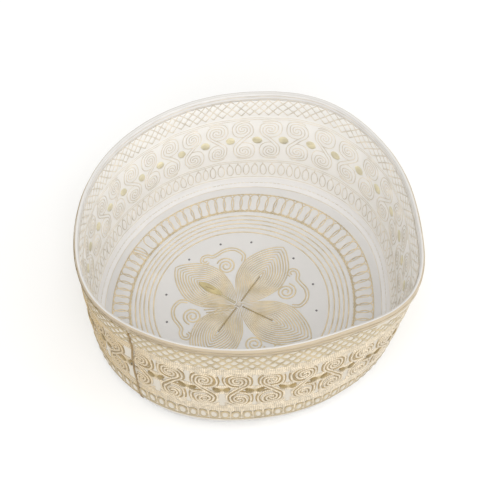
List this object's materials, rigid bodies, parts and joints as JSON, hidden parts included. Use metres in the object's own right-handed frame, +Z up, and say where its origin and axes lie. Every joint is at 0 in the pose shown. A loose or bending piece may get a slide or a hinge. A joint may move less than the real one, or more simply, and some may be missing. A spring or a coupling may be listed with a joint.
{
  "type": "kufi cap",
  "caption": "Stiff round cotton cap with a flat embroidered crown, an upright embroidered wall and a folded hem, lying crown down with its opening up.",
  "frame": {"origin": "on the surface that the crown rests on, under the middle of the cap", "axes": "+Z up out of the opening, -Y the front of the cap as pictured, +X its right-hand side"},
  "size_m": [0.1862, 0.183, 0.087],
  "materials": {
    "crown_cloth": "matt off-white cotton",
    "wall_cloth": "matt ivory cotton",
    "hem_cloth": "matt ivory cotton tape",
    "inner_thread": "pale beige cotton thread",
    "outer_thread": "tan silky thread",
    "gold_thread": "dull gold silky thread",
    "seam_thread": "brown cotton thread"
  },
  "bodies": {
    "root": {"crown_panel": "crown_cloth", "side_wall": "wall_cloth", "rim_hem": "hem_cloth"}
  },
  "joints": []
}
